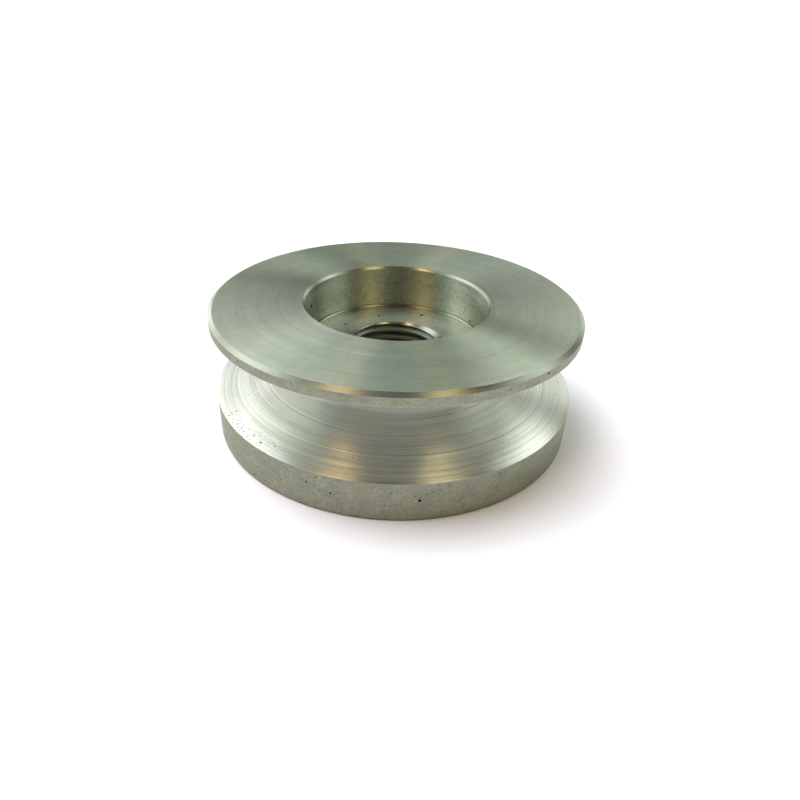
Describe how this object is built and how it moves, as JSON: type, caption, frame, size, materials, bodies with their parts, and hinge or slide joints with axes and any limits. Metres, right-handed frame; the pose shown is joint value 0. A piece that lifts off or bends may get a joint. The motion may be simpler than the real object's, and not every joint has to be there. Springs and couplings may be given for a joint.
{
  "type": "v belt pulley",
  "caption": "Round turned pulley with one V groove for a belt, a counterbored front face and a threaded hole through its centre.",
  "frame": {"origin": "centre of the rear face, on the bore axis", "axes": "+Z along the bore axis, from the plain rear face to the counterbored front face; +X and +Y are any two radii at right angles"},
  "size_m": [0.062, 0.062, 0.0215],
  "materials": {
    "turned_aluminium": "lathe turned, satin with fine concentric tool marks; rims duller and speckled with small casting pores"
  },
  "bodies": {
    "root": {"pulley_body": "turned_aluminium"}
  },
  "joints": []
}
